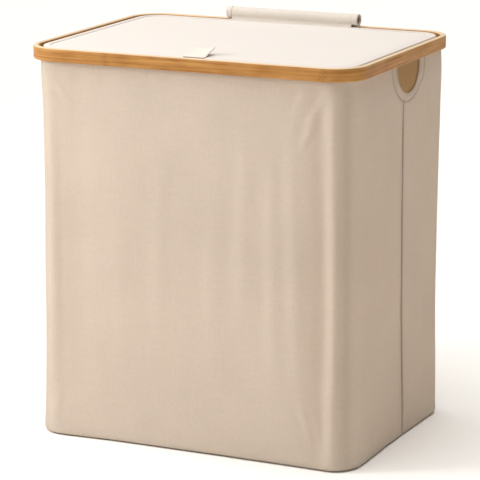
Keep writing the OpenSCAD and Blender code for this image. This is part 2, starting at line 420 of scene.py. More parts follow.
# ---------------------------------------------------------------- material helpers
class Nodes:
    """Builds a material's node tree."""

    def __init__(self, name):
        self.material = bpy.data.materials.new(name)
        self.material.use_nodes = True
        self.tree = self.material.node_tree
        self.shader = self.tree.nodes["Principled BSDF"]

    def add(self, kind, inputs=(), **settings):
        node = self.tree.nodes.new(kind)
        for key, value in settings.items():
            setattr(node, key, value)
        for key, value in dict(inputs).items():
            if isinstance(value, bpy.types.NodeSocket):
                self.tree.links.new(value, node.inputs[key])
            else:
                node.inputs[key].default_value = value
        return node

    def math(self, operation, *values):
        return self.add("ShaderNodeMath", enumerate(values), operation=operation).outputs[0]

    def plus(self, *values):
        return self.math("ADD", *values)

    def times(self, *values):
        return self.math("MULTIPLY", *values)

    def uv(self):
        """The cloth's own places, in metres along it and across it."""
        return self.add("ShaderNodeUVMap", uv_map="cloth").outputs["UV"]

    def split(self, vector):
        return self.add("ShaderNodeSeparateXYZ", {"Vector": vector}).outputs

    def noise(self, vector, scale, detail=3.0, roughness=0.5):
        node = self.add("ShaderNodeTexNoise", {
            "Vector": vector, "Scale": scale, "Detail": detail, "Roughness": roughness,
        })
        return node.outputs["Fac"]

    def fibres(self, vector, scale, detail=2, roughness=0.5):
        """Noise with its own scale along each axis, so that it can run out into fibres."""
        stretched = self.add("ShaderNodeMapping", {"Vector": vector, "Scale": scale}).outputs["Vector"]
        return self.noise(stretched, 1.0, detail, roughness)

    def spread(self, value, low, high, to_low, to_high):
        """A value brought from one range to another."""
        node = self.add("ShaderNodeMapRange", {
            "Value": value, "From Min": low, "From Max": high, "To Min": to_low, "To Max": to_high,
        })
        return node.outputs["Result"]

    def mix(self, factor, a, b):
        node = self.add("ShaderNodeMix", data_type="RGBA")
        for socket, value in (("Factor_Float", factor), ("A_Color", a), ("B_Color", b)):
            target = next(i for i in node.inputs if i.identifier == socket)
            if isinstance(value, bpy.types.NodeSocket):
                self.tree.links.new(value, target)
            else:
                target.default_value = value if socket == "Factor_Float" else (*value, 1)
        return next(o for o in node.outputs if o.identifier == "Result_Color")

    def scale_colour(self, colour, amount):
        """A colour made lighter or darker by a factor."""
        node = self.add("ShaderNodeVectorMath", operation="SCALE")
        node.inputs[0].default_value = colour
        self.tree.links.new(amount, node.inputs["Scale"])
        return node.outputs[0]

    def link(self, value, socket):
        self.tree.links.new(value, self.shader.inputs[socket])

    def bump(self, height, distance, strength=1.0, normal=None):
        inputs = {"Height": height, "Distance": distance, "Strength": strength}
        if normal is not None:
            inputs["Normal"] = normal
        return self.add("ShaderNodeBump", inputs).outputs["Normal"]

    def let_through(self, colour, share):
        """Lets a share of the light pass through the cloth."""
        glow = self.add("ShaderNodeBsdfTranslucent", {"Color": (*colour, 1)})
        mix = self.add("ShaderNodeMixShader", {0: share, 1: self.shader.outputs[0], 2: glow.outputs[0]})
        output = next(n for n in self.tree.nodes if n.type == "OUTPUT_MATERIAL")
        self.tree.links.new(mix.outputs[0], output.inputs["Surface"])

    def set(self, **values):
        for key, value in values.items():
            self.shader.inputs[key.replace("_", " ")].default_value = value


def srgb(r, g, b):
    """A linear colour from its screen values."""
    return tuple((c / 255 / 12.92) if c <= 10 else ((c / 255 + 0.055) / 1.055) ** 2.4 for c in (r, g, b))


# the colour painted into seams, grooves and the cloth beside the rods as painted shade, and the tint of the
# light that comes through the cloth
SHADE_COLOUR = srgb(146, 108, 62)
WARM_LIGHT = (1.0, 0.92, 0.76)


def canvas(name, colour, thread=0.62 * MM, variation=0.05, relief=0.12 * MM, mottle=0.035, thin=0.0):
    """Plain-woven cotton: threads each way, slubs, a faint mottle. thin is how much light comes through."""
    n = Nodes(name)
    uv = n.uv()
    wobble = n.fibres(uv, (60, 60, 1))
    across = n.split(uv)
    shift = n.times(wobble, 1.2)
    warp = n.math("SINE", n.plus(n.times(across[0], 2 * math.pi / thread), shift))
    weft = n.math("SINE", n.plus(n.times(across[1], 2 * math.pi / thread), shift))
    weave = n.times(warp, weft)
    slubs = n.plus(n.fibres(uv, (900, 22, 1)), n.fibres(uv, (22, 900, 1)))
    patches = n.fibres(uv, (9, 9, 1), 4, 0.6)
    tone = n.plus(
        n.spread(slubs, 0.6, 1.4, 1 - variation, 1 + variation),
        n.spread(patches, 0.3, 0.7, -mottle, mottle),
    )
    tone = n.plus(tone, n.times(weave, 0.025))
    flecks = n.fibres(uv, (330, 190, 1))
    tone = n.plus(tone, n.spread(flecks, 0.3, 0.7, -0.7 * variation, 0.7 * variation))
    # painted shade: the cloth's colour is darkened towards the shade colour where the mesh's shade attribute
    # says, in seams, grooves and beside the rods
    painted_shade = n.add("ShaderNodeAttribute", attribute_name="painted_shade").outputs["Fac"]
    n.link(n.mix(n.times(painted_shade, 0.85), n.scale_colour(colour, tone), SHADE_COLOUR), "Base Color")
    fuzz = n.fibres(uv, (700, 700, 1))
    height = n.plus(n.times(weave, 0.5), n.times(slubs, 0.9))
    height = n.plus(height, n.times(fuzz, 0.5))
    crinkle = n.fibres(uv, (105, 80, 1), 4, 0.62)
    n.link(n.bump(height, relief, 0.8, n.bump(crinkle, relief * 5.5, 0.55)), "Normal")
    n.link(n.spread(fuzz, 0.3, 0.7, 0.82, 0.95), "Roughness")
    n.set(Sheen_Weight=0.15, Sheen_Roughness=0.6, Specular_IOR_Level=0.2)
    if thin:
        n.let_through(tuple(c * warm for c, warm in zip(colour, WARM_LIGHT)), thin)
    return n.material


def bamboo(name, light, dark, pale, knot_gap=0.29):
    """Bamboo strip: fine fibres along it, streaks, a darker knot now and then, and a paler top face: partly
    its lighter cut edge, partly a painted highlight.
    """
    n = Nodes(name)
    uv = n.uv()
    fibres = n.fibres(uv, (14, 2600, 1), 3, 0.6)
    streaks = n.fibres(uv, (5, 420, 1), 3, 0.55)
    patches = n.fibres(uv, (26, 60, 1))
    bent = n.plus(n.split(uv)[0], n.times(n.fibres(uv, (30, 160, 1)), 0.012))
    near = n.math("ABSOLUTE", n.math("SUBTRACT", n.math("MODULO", bent, knot_gap), knot_gap / 2))
    knot = n.spread(near, 0.002, 0.007, 1.0, 0.0)
    knot = n.times(knot, n.spread(n.fibres(uv, (420, 900, 1)), 0.45, 0.65, 0.0, 1.0))
    streaked = n.times(n.spread(streaks, 0.3, 0.7, 0, 1), 0.5)
    blend = n.plus(streaked, n.times(n.spread(fibres, 0.3, 0.7, 0, 1), 0.4))
    blend = n.plus(blend, n.times(n.spread(patches, 0.35, 0.7, 0, 1), 0.25))
    colour = n.mix(blend, light, dark)
    colour = n.mix(n.times(knot, 0.55), colour, tuple(c * 0.4 for c in dark))
    # the top face is lightened by its upward normal: a lighter cut edge and a painted highlight
    upward = n.split(n.add("ShaderNodeTexCoord").outputs["Normal"])[2]
    n.link(n.mix(n.spread(upward, 0.35, 0.9, 0.0, 0.85), colour, pale), "Base Color")
    n.link(n.spread(fibres, 0.3, 0.7, 0.38, 0.55), "Roughness")
    height = n.math("SUBTRACT", n.plus(fibres, streaks), n.times(knot, 0.6))
    n.link(n.bump(height, 0.12 * MM, 0.6), "Normal")
    n.set(Specular_IOR_Level=0.2)
    return n.material


def plain(name, colour, roughness, grain=600.0, relief=0.03 * MM, variation=0.05, metallic=0.0):
    """A moulded, turned or pressed surface: a fine grain and a slight change of tone."""
    n = Nodes(name)
    place = n.add("ShaderNodeTexCoord").outputs["Object"]
    fine = n.noise(place, grain, 3)
    tone = n.spread(n.noise(place, grain / 12, 3), 0.3, 0.7, 1 - variation, 1 + variation)
    n.link(n.scale_colour(colour, tone), "Base Color")
    n.link(n.spread(fine, 0.3, 0.7, roughness - 0.06, roughness + 0.06), "Roughness")
    n.link(n.bump(fine, relief, 0.5), "Normal")
    n.set(Metallic=metallic)
    return n.material


def fibreboard(name):
    """Pressed board: short fibres in every direction."""
    n = Nodes(name)
    place = n.add("ShaderNodeTexCoord").outputs["Object"]
    flecks = n.fibres(place, (380, 900, 380), 4, 0.7)
    n.link(n.mix(n.spread(flecks, 0.3, 0.7, 0, 1), srgb(196, 168, 126), srgb(150, 121, 83)), "Base Color")
    n.link(n.bump(flecks, 0.1 * MM, 0.6), "Normal")
    n.set(Roughness=0.85)
    return n.material


CANVAS = canvas("canvas", srgb(243, 233, 221), thin=0.45)
CANVAS_IN = canvas("canvas_inside", srgb(216, 200, 176))
TAPE = canvas("tape", srgb(200, 184, 160), thread=0.45 * MM)
SMOOTH = {"thread": 0.5 * MM, "variation": 0.012, "relief": 0.04 * MM, "mottle": 0.01}
LIGHT = canvas("canvas_light", srgb(227, 219, 212), **SMOOTH)
TAB_CLOTH = canvas("canvas_tab", srgb(231, 221, 210), **SMOOTH)
# cloth of the hinge tube and loops: the lid's cream made a little darker, as painted shade
TUBE_CLOTH = canvas("canvas_tube", srgb(224, 215, 204), thread=0.5 * MM, variation=0.03, mottle=0.02)
SPUN = {"thread": 0.3 * MM, "relief": 0.02 * MM}
THREAD_LID = canvas("thread_lid", srgb(205, 197, 187), **SPUN)
BAMBOO = bamboo("bamboo", srgb(218, 164, 94), srgb(140, 82, 28), srgb(236, 216, 186))
BAMBOO_IN = bamboo("bamboo_inner", srgb(214, 172, 116), srgb(178, 128, 70), srgb(226, 190, 140))
THREAD = canvas("thread", srgb(214, 200, 180), **SPUN)
THREAD_LIGHT = canvas("thread_light", srgb(232, 222, 208), **SPUN)
DOWEL = plain("dowel_wood", srgb(112, 84, 60), 0.6, grain=900, relief=0.05 * MM, variation=0.15)
STEEL = plain("brad_steel", srgb(176, 176, 174), 0.35, metallic=1.0)
ROD = plain("rod_aluminium", srgb(200, 201, 203), 0.32, metallic=1.0)
CAP = plain("cap_plastic", srgb(52, 50, 47), 0.5)
BOARD = fibreboard("fibreboard")


# ---------------------------------------------------------------- bamboo rim
def make_rim():
    """The bent bamboo strip, and the lower inner hoop that the lid rests on."""
    outer = rounded_section(0, STRIP_T, RIM_BOTTOM, RIM_TOP, 2.2 * MM)
    hoop("rim_strip", RIM_A, RIM_B, RIM_R, outer, BAMBOO, "basket", ["rim_hoop_outer"])
    inset = RIM_A - HOOP_HIGH.x
    inner = rounded_section(inset, inset + 7 * MM, HOOP_LOW.z, HOOP_HIGH.z, 1.2 * MM)
    hoop("rim_ledge", RIM_A, RIM_B, RIM_R, inner, BAMBOO_IN, "basket", ["rim_hoop_inner"])


# ---------------------------------------------------------------- canvas walls
# A place on the wall is (s, z): s runs anticlockwise round it from the middle of the right side.
WALL_LENGTH = path_length(WALL_A, WALL_B, WALL_R)
S_RIGHT = SEAM_Y
S_LEFT = WALL_LENGTH / 2 - SEAM_Y
HOLES = (HOLE_Y, WALL_LENGTH / 2 - HOLE_Y)
# where each side seam ends below its facing, and the facing's mean radius and half its reach along the wall
SEAM_TOP = 0.436
FACING_MEAN = 0.052
FACING_SPAN = 0.08
# how far the cloth is held out round each corner by the rod's sleeve behind it
SLEEVE_REACH, CORNER_REACH, SLEEVE_TURN = 27.1 * MM, 28.3 * MM, 1.15
# each corner's fold: which way its long side lies, and how strong it is
CORNER_FOLDS = (
    ("front_right", -1, 1.0), ("front_left", 1, 0.35), ("rear_right", 1, 0.35), ("rear_left", -1, 0.6),
)
HANG = np.zeros((190, 64))
CORNERS = {
    "rear_right": (WALL_B - WALL_R) + math.pi * WALL_R / 4,
    "rear_left": WALL_LENGTH / 2 - (WALL_B - WALL_R) - math.pi * WALL_R / 4,
    "front_left": WALL_LENGTH / 2 + (WALL_B - WALL_R) + math.pi * WALL_R / 4,
    "front_right": WALL_LENGTH - (WALL_B - WALL_R) - math.pi * WALL_R / 4,
}
# soft unevenness: height in mm, waves a metre along and up, seed
UNEVEN = ((1.3, 7, 4, 1.5), (0.7, 19, 6, 4.5), (0.22, 55, 34, 6.5))
# how far the corners flare at the foot, in mm
FLARES = (("front_left", 5.0), ("front_right", 3.0), ("rear_left", 3.0), ("rear_right", 1.4))
# swellings of a corner: height in mm, half width, level, half height, and whether it ends below the rim
SWELLS = (
    ("rear_right", 3.3, 0.06, 0.44, 0.09, False), ("rear_right", 2.4, 0.06, 0.30, 0.13, True),
    ("front_left", 1.4, 0.05, 0.20, 0.10, True),
)


def bell(x, width):
    """A smooth hump of height 1 round zero."""
    return np.exp(-((x / width) ** 2))


def wave(s, z, scale_s, scale_z, seed):
    """Smooth noise over the cloth, from about -1 to 1."""
    return np.array([noise.noise(Vector((a * scale_s, b * scale_z, seed))) for a, b in zip(s, z)])


def around(s, place):
    """Distance along the wall from a place, the short way round."""
    return (s - place + WALL_LENGTH / 2) % WALL_LENGTH - WALL_LENGTH / 2


def corner_fold(u, z):
    """The cloth over a corner rod: a ridge, a long hollow before it, and a flatter turn behind."""
    u = u / MM
    fold = 2.2 * bell(u - 15, 5.5) - 2.0 * bell(u - 31, 10) - 0.8 * bell(u + 1, 9) - 2.4 * bell(u + 18, 12)
    deep = bell(z - 0.20, 0.17) * np.clip((0.47 - z) / 0.10, 0, 1)
    hollow = np.where(u > 30, bell(u - 30, 30), bell(u - 30, 9))
    return MM * (fold - 6.0 * hollow * deep - 2.2 * bell(u - 2, 6) * deep)


def streak(s, z, start, end, width, height):
    """A soft fold along a line from start to end, both (s, z), that fades out at its ends."""
    (s0, z0), (s1, z1) = start, end
    length = math.dist(start, end)
    along = ((s - s0) * (s1 - s0) + (z - z0) * (z1 - z0)) / length ** 2
    off = ((s - s0) * (z1 - z0) - (z - z0) * (s1 - s0)) / length
    fade = np.clip(np.sin(math.pi * np.clip(along, 0, 1)), 0, 1) ** 0.6
    return height * fade * (bell(off, width) - 0.5 * bell(off - 1.9 * width, width))


def front_place(x):
    """Distance along the wall of a place x on the front."""
    return WALL_LENGTH - (WALL_B - WALL_R) - math.pi * WALL_R / 2 - (WALL_A - WALL_R) + x


def rear_place(x):
    """Distance along the wall of a place x on the rear."""
    return (WALL_B - WALL_R) + math.pi * WALL_R / 2 + (WALL_A - WALL_R) - x


def wall_relief(s, z):
    """How far the canvas stands out from its straight wall at each place, in metres."""
    top = RIM_BOTTOM
    free = np.clip((top - z) / (45 * MM), 0, 1) * np.clip(z / (30 * MM), 0, 1)
    out = np.zeros(len(s))
    for height, along, up, seed in UNEVEN:
        out += height * MM * wave(s, z, along, up, seed) * free
    # the cloth is drawn in a little between the rim and the base
    out -= 0.9 * MM * np.sin(np.clip(z / top, 0, 1) * math.pi) * free
    for name, flare in FLARES:
        out += flare * MM * bell(around(s, CORNERS[name]), 0.085) * np.clip(1 - z / 0.16, 0, 1) ** 1.2
    for name, height, width, level, rise, ends in SWELLS:
        swell = height * MM * bell(around(s, CORNERS[name]), width) * bell(z - level, rise)
        out += swell * free if ends else swell
    # short gathers under the rim, where the hem is clamped
    out += 0.9 * MM * wave(s, z, 55, 5, 9.5) * bell(top - z, 0.032)
    out += 0.8 * MM * bell(top - 0.03 - z, 0.022)
    for name, sign, strength in CORNER_FOLDS:
        away = sign * around(s, CORNERS[name]) + 1.2 * MM * np.sin(z * 11 + strength * 5)
        out += strength * corner_fold(away, z) * free ** 0.7
    out += folds(s, z) * free ** 0.5
    # tucks where the wall turns under at the base
    out += 0.8 * MM * wave(s, z, 30, 8, 14.5) * bell(z - 0.014, 0.022)
    return out


# folds: front or rear, x in metres, top, foot, drift to the side, width, and height in mm
FOLDS = [
    # long and upright
    (front_place, -0.150, 0.46, 0.05, 0.000, 0.016, -1.0),
    (front_place, -0.100, 0.36, 0.06, 0.006, 0.012, 0.7),
    (front_place, -0.035, 0.40, 0.12, -0.008, 0.011, 0.9),
    (front_place, 0.030, 0.30, 0.07, 0.006, 0.010, 0.6), (front_place, 0.078, 0.42, 0.16, -0.004, 0.010, 1.1),
    (front_place, 0.112, 0.38, 0.10, 0.004, 0.008, 1.0), (front_place, 0.140, 0.44, 0.05, 0.007, 0.008, 1.0),
    (rear_place, -0.120, 0.40, 0.08, 0.006, 0.011, 1.0), (rear_place, 0.060, 0.43, 0.14, -0.006, 0.012, 0.9),
    (rear_place, 0.145, 0.36, 0.05, 0.004, 0.009, 1.1),
    # short slanting pulls at the corners, under the rim and above the base
    (front_place, 0.188, 0.470, 0.420, -0.032, 0.0045, 2.3),
    (front_place, 0.176, 0.440, 0.396, -0.026, 0.0045, 1.7),
    (front_place, 0.160, 0.474, 0.440, -0.018, 0.0040, 1.3),
    (front_place, -0.186, 0.468, 0.425, 0.026, 0.0045, 0.8),
    (front_place, 0.150, 0.085, 0.022, 0.022, 0.0050, 2.1),
    (front_place, 0.168, 0.075, 0.020, 0.012, 0.0045, 1.7),
    (front_place, -0.180, 0.070, 0.020, -0.012, 0.0045, 1.0),
    (rear_place, 0.180, 0.465, 0.410, -0.028, 0.0050, 1.3),
    (rear_place, -0.182, 0.080, 0.022, -0.014, 0.0050, 1.2),
    (rear_place, 0.100, 0.470, 0.430, 0.010, 0.0045, 0.9),
]
# folds beside each side seam: start and end as (s, z) from the seam, width, and height in mm
SEAM_FOLDS = [
    ((0.055, 0.474), (0.085, 0.400), 0.006, 1.2), ((0.080, 0.40), (0.072, 0.10), 0.010, 0.9),
    ((-0.050, 0.42), (-0.056, 0.08), 0.010, 0.7),
]


def folds(s, z):
    """The soft folds of cloth that hangs a little full."""
    out = np.zeros(len(s))
    for place, x, top, foot, drift, width, height in FOLDS:
        sign = 1 if place is front_place else -1
        centre = place(x)
        out += streak(around(s, centre), z, (0.0, top), (sign * drift, foot), width, height * MM)
    for place, sign in ((S_RIGHT, 1), (S_LEFT, -1)):
        for (s0, top), (s1, foot), width, height in SEAM_FOLDS:
            out += streak(around(s, place), z, (s0 * sign, top), (s1 * sign, foot), width, height * MM)
    return out


def seam_drift(s, z):
    """The side seams aren't sewn quite upright: they run a little to the rear towards the base."""
    lean = 7 * MM * np.clip(1 - z / 0.43, 0, 1)
    return lean * (bell(around(s, S_RIGHT), 0.05) - bell(around(s, S_LEFT), 0.05))


def seam_dip(s, z):
    """The two panels roll in at the side seams, up to the facing."""
    out = np.zeros(len(s))
    below = np.clip((SEAM_TOP - z) / (4 * MM), 0.15, 1)
    for place in (S_RIGHT, S_LEFT):
        away = around(s, place)
        out -= 1.0 * MM * bell(away, 0.0013) * below
        out += 0.3 * MM * bell(np.abs(away) - 0.005, 0.003) * below
    return out


def facing_reach(s, z, place):
    """How far out from a hand hole each place lies, 1 at the facing's edge, and whether it is near it."""
    y = around(s, place)
    return np.hypot(y / FACING_W, (z - RIM_BOTTOM) / FACING_H), (np.abs(y) < FACING_SPAN) * (z < RIM_BOTTOM)


def facing_dip(s, z):
    """The facing's stitched edge round each hand hole shows as a groove, with fuller cloth inside it."""
    out = np.zeros(len(s))
    for place in HOLES:
        r, near = facing_reach(s, z, place)
        out -= 0.55 * MM * bell((r - 1) * FACING_MEAN, 0.0013) * near
        out += 0.5 * MM * bell((r - 0.86) * FACING_MEAN, 0.005) * near
    return out


def base_turn(z):
    """How far the wall has turned in at the base, where it rolls under."""
    radius = 4 * MM
    down = np.clip(radius - (z - WALL_LOW.z), 0, radius)
    return radius - np.sqrt(radius ** 2 - down ** 2)


def wall_place(s, z):
    """Points of the canvas and their outward normals."""
    flat, normals = round_path(WALL_A, WALL_B, WALL_R, s + seam_drift(s, z))
    out = wall_relief(s, z) + seam_dip(s, z) + facing_dip(s, z) - base_turn(z) + hung(s, z)
    for name in CORNERS:
        away = np.clip(np.abs(around(s, CORNERS[name])) / WALL_R, 0, 1.2)
        held = SLEEVE_REACH * np.cos(away) - CORNER_REACH - 40 * MM * (away > SLEEVE_TURN)
        out = np.maximum(out, held)
    tucked = np.clip((z - RIM_BOTTOM) / (4 * MM), 0, 1)
    out = out * (1 - tucked)
    hidden = np.clip((RIM_BOTTOM + 2 * MM - z) / (10 * MM), 0.0, 1)
    out = np.minimum(out, 0.6 * MM + 8 * MM * hidden)
    points = flat + normals * out[:, None]
    verts = np.column_stack([points, z])
    return verts, np.column_stack([normals, np.zeros(len(s))])


def hole_arc(low_s, high_s, flip, step):
    """The hand hole's edge, from its top to its top, cut at the seam: (s, z) points in s order."""
    angles = np.linspace(math.pi, 2 * math.pi, int(math.pi * HOLE_R / step))
    arc = [(-HOLE_R, WALL_TOP)]
    arc += [(-HOLE_R, z) for z in np.arange(WALL_TOP - step, HOLE_ARC_Z, -step)]
    arc += [(HOLE_R * math.cos(t), HOLE_ARC_Z + HOLE_R * math.sin(t)) for t in angles]
    arc += [(HOLE_R, z) for z in np.arange(HOLE_ARC_Z, WALL_TOP - step, step)[1:]]
    arc += [(HOLE_R, WALL_TOP)]
    middle = WALL_LENGTH / 2 - HOLE_Y if flip else HOLE_Y
    return [(middle + y, z) for y, z in arc if low_s <= middle + y <= high_s]


def line(start, end, step):
    """Points from start up to, but not with, end."""
    count = max(1, round(math.dist(start, end) / step))
    return [tuple(np.add(start, np.subtract(end, start) * k / count)) for k in range(count)]


def hole_z(offset):
    """Height of the hand hole's lower edge at a distance from its middle."""
    return HOLE_ARC_Z - math.sqrt(HOLE_R ** 2 - offset ** 2)


def panel_outline(front, step):
    """A panel's flat outline as (s, z), with its share of the two hand holes cut out."""
    bottom = WALL_LOW.z
    meet = hole_z(HOLE_Y - SEAM_Y)
    if front:
        s0, s1 = S_LEFT, WALL_LENGTH + S_RIGHT
        right = hole_arc(-1, S_RIGHT - 1e-6, False, step)
        right = [(s + WALL_LENGTH, z) for s, z in right]
        left = hole_arc(S_LEFT + 1e-6, 9, True, step)
    else:
        s0, s1 = S_RIGHT, S_LEFT
        left = hole_arc(S_RIGHT + 1e-6, 1, False, step)
        right = hole_arc(-1, S_LEFT - 1e-6, True, step)
    right_up, left_down = right[::-1], left[::-1]
    outline = line((s0, bottom), (s1, bottom), step) + line((s1, bottom), (s1, meet), step)
    outline += [(s1, meet)] + right_up
    outline = outline[:-1] + line(right_up[-1], left_down[0], step) + left_down
    outline += line((s0, meet), (s0, bottom), step)
    return np.array(outline)


def facing_curve(middle, scale=1.0, count=64):
    """Points (s, z) along the facing's stitched outer edge, from one end under the rim to the other."""
    angles = np.linspace(math.pi, 2 * math.pi, count)
    return np.column_stack([
        middle + FACING_W * scale * np.cos(angles), RIM_BOTTOM + FACING_H * scale * np.sin(angles),
    ])


def panel_lines(front):
    """Rows of points where the canvas needs finer folds: beside the seams, the facings and the base."""
    heights = np.arange(WALL_LOW.z + 3 * MM, WALL_TOP, 4 * MM)
    s0, s1 = (S_LEFT, WALL_LENGTH + S_RIGHT) if front else (S_RIGHT, S_LEFT)
    beside = (0.8 * MM, 1.8 * MM, 3.2 * MM)
    upright = [s0 + d for d in beside] + [s1 - d for d in beside]
    rows = [np.column_stack([np.full(len(heights), s), heights]) for s in upright]
    for middle in (WALL_LENGTH / 2 - HOLE_Y, HOLE_Y + (WALL_LENGTH if front else 0)):
        rows += [facing_curve(middle, scale) for scale in (0.95, 0.978, 1.0, 1.022, 1.05)]
    across = np.arange(s0 + 4 * MM, s1 - 4 * MM, 4 * MM)
    for height in (0.5 * MM, 1.3 * MM, 2.4 * MM):
        rows.append(np.column_stack([across, np.full(len(across), WALL_LOW.z + height)]))
    return rows


def paint_cloth_shade(obj, s, z):
    """Paints shade into the cloth's colour: along the seams, the facings' edges and beside the rods."""
    depth = np.zeros(len(s))
    below = np.clip((SEAM_TOP + 2 * MM - z) / (3 * MM), 0.0, 1)
    for place in (S_RIGHT, S_LEFT):
        depth = np.maximum(depth, bell(around(s, place), 0.0021) * below)
    for place in HOLES:
        r, near = facing_reach(s, z, place)
        depth = np.maximum(depth, 0.55 * bell((r - 1) * FACING_MEAN, 0.0016) * near)
    # painted shade beside the rods, where their sleeves lie behind the cloth and less light comes through
    for name, sign, strength in CORNER_FOLDS:
        away = sign * around(s, CORNERS[name]) / MM
        high = np.clip((RIM_BOTTOM - z) / 0.03, 0, 1) * strength
        depth = np.maximum(depth, high * (0.20 * bell(away + 1, 9) + 0.10 * bell(away - 40, 16)))
    mark(obj, depth)


CANVAS_FEEL = {
    "quality": 8, "mass": 0.1, "tension_stiffness": 80, "compression_stiffness": 80, "shear_stiffness": 20,
    "bending_stiffness": 12, "air_damping": 3,
}


def settle(verts, faces, held, spread, frames=20, limit=3 * MM):
    """Lets cloth, cut a little full round the basket, hang in a short cloth simulation. spread is how full
    it is cut, and held how firmly each point is pinned, from 0 to 1. Gives each point's movement, at most
    the limit."""
    mesh = bpy.data.meshes.new("settling")
    mesh.from_pydata([tuple(v) for v in verts], [], faces)
    obj = bpy.data.objects.new("settling", mesh)
    bpy.context.scene.collection.objects.link(obj)
    obj.shape_key_add(name="place")
    cut = obj.shape_key_add(name="cut")
    wide = np.asarray(verts) * (1 + spread, 1 + spread, 1)
    cut.data.foreach_set("co", wide.ravel())
    group = obj.vertex_groups.new(name="held")
    for i, weight in enumerate(held):
        group.add([i], float(weight), "REPLACE")
    cloth = obj.modifiers.new("cloth", "CLOTH")
    for setting, value in CANVAS_FEEL.items():
        setattr(cloth.settings, setting, value)
    cloth.settings.vertex_group_mass = "held"
    cloth.settings.rest_shape_key = cut
    cloth.settings.effector_weights.gravity = 0.15
    cloth.collision_settings.use_collision = False
    cloth.point_cache.frame_start = 1
    cloth.point_cache.frame_end = frames
    for frame_number in range(1, frames + 1):
        bpy.context.scene.frame_set(frame_number)
    depsgraph = bpy.context.evaluated_depsgraph_get()
    result = obj.evaluated_get(depsgraph).to_mesh()
    moved = np.zeros(len(verts) * 3)
    result.vertices.foreach_get("co", moved)
    moved = moved.reshape(-1, 3) - verts
    bpy.context.scene.frame_set(1)
    bpy.data.objects.remove(obj)
    size = np.linalg.norm(moved, axis=1)
    return moved * (limit * np.tanh(size / limit) / np.maximum(size, 1e-9))[:, None]


def hang_walls():
    """How far the whole canvas wall moves out as it hangs, over the (s, z) grid of HANG."""
    columns, rows = HANG.shape
    s = np.arange(columns) * WALL_LENGTH / columns
    z = np.linspace(WALL_LOW.z, WALL_TOP, rows)
    ss, zz = (m.ravel() for m in np.meshgrid(s, z, indexing="ij"))
    verts, normals = wall_place(ss, zz)
    faces = [
        (i * rows + j, (i + 1) % columns * rows + j, (i + 1) % columns * rows + j + 1, i * rows + j + 1)
        for i in range(columns) for j in range(rows - 1)
    ]
    held = np.clip((zz - (RIM_BOTTOM - 12 * MM)) / (8 * MM), 0, 1)
    held = np.maximum(held, np.clip((22 * MM - zz) / (12 * MM), 0, 1))
    for name in CORNERS:
        held = np.maximum(held, 0.55 * bell(around(ss, CORNERS[name]), 0.016))
    for place in (S_RIGHT, S_LEFT):
        held = np.maximum(held, 0.35 * bell(around(ss, place), 0.010))
    for place in HOLES:
        held = np.maximum(held, bell(np.hypot(around(ss, place), zz - RIM_BOTTOM) / 0.055, 1.0) ** 2)
    moved = settle(verts, faces, held, 0.006)
    out = (moved * normals).sum(1).reshape(columns, rows)
    for _ in range(2):
        out = (np.roll(out, 1, 0) + 2 * out + np.roll(out, -1, 0)) / 4
        out[:, 1:-1] = (out[:, :-2] + 2 * out[:, 1:-1] + out[:, 2:]) / 4
    return out


def hung(s, z):
    """The simulated movement at each place, between the grid's points."""
    columns, rows = HANG.shape
    u = np.mod(s, WALL_LENGTH) / WALL_LENGTH * columns
    v = np.clip((z - WALL_LOW.z) / (WALL_TOP - WALL_LOW.z), 0, 1) * (rows - 1)
    i, j = np.floor(u).astype(int) % columns, np.minimum(np.floor(v).astype(int), rows - 2)
    fu, fv = u - np.floor(u), v - j
    k = (i + 1) % columns
    low = HANG[i, j] * (1 - fu) + HANG[k, j] * fu
    high = HANG[i, j + 1] * (1 - fu) + HANG[k, j + 1] * fu
    return low * (1 - fv) + high * fv


def make_panel(front, name, node):
    """One wall panel, with its share of the hand holes cut out."""
    flat, faces = sheet_points(panel_outline(front, 4 * MM), 4 * MM, panel_lines(front))
    verts, normals = wall_place(flat[:, 0], flat[:, 1])
    obj = sheet_piece(name, flat, verts, normals, faces, CANVAS_T, CANVAS, "basket", [node])
    paint_cloth_shade(obj, np.tile(flat[:, 0], 2), np.tile(flat[:, 1], 2))
    weld(obj)


def make_walls():
    """The front and rear panels, which meet at the side seams."""
    HANG[:] = hang_walls()
    make_panel(True, "canvas_front", "body_panel_front")
    make_panel(False, "canvas_rear", "body_panel_rear")


def make_facings():
    """A facing is sewn inside each hand hole; the hole's edge is rolled and topstitched."""
    rows = []
    for side, name in SIDES:
        middle = HOLE_Y if side > 0 else WALL_LENGTH / 2 - HOLE_Y
        make_facing(side, name, middle)
        make_hole_roll(side, name, middle)
        rows.append(on_wall(stitch_line(middle, 4.5 * MM)))
        rows.append(on_wall(facing_curve(middle, 1.0, 96)[3:-3]))
    stitches("hole_stitches", rows[0::2], "basket", THREAD_LIGHT, (2.0, 2.9, 0.2))
    stitches("facing_stitches", rows[1::2], "basket", THREAD, (2.2, 3.1, 0.22))


def beside_hole(places, side, middle):
    """Distances along the wall of (y, z) places at a hand hole."""
    return places[:, 0] - HOLE_Y + middle if side > 0 else middle + HOLE_Y - places[:, 0]


def make_facing(side, name, middle):
    """The half ring of cloth inside a hand hole."""
    outline = facing_outline(RIM_BOTTOM - 0.1 * MM)
    flat, faces = sheet_points(outline, 3 * MM)
    verts, normals = wall_place(beside_hole(flat, side, middle), flat[:, 1])
    verts -= normals * (CANVAS_T + 0.08 * MM)
    if side < 0:
        faces = [tuple(reversed(f)) for f in faces]
    node = "hand_hole_facing_" + name
    obj = sheet_piece(
        "facing_" + name, flat, verts, normals, faces, 0.85 * MM, CANVAS, "basket", [node],
    )


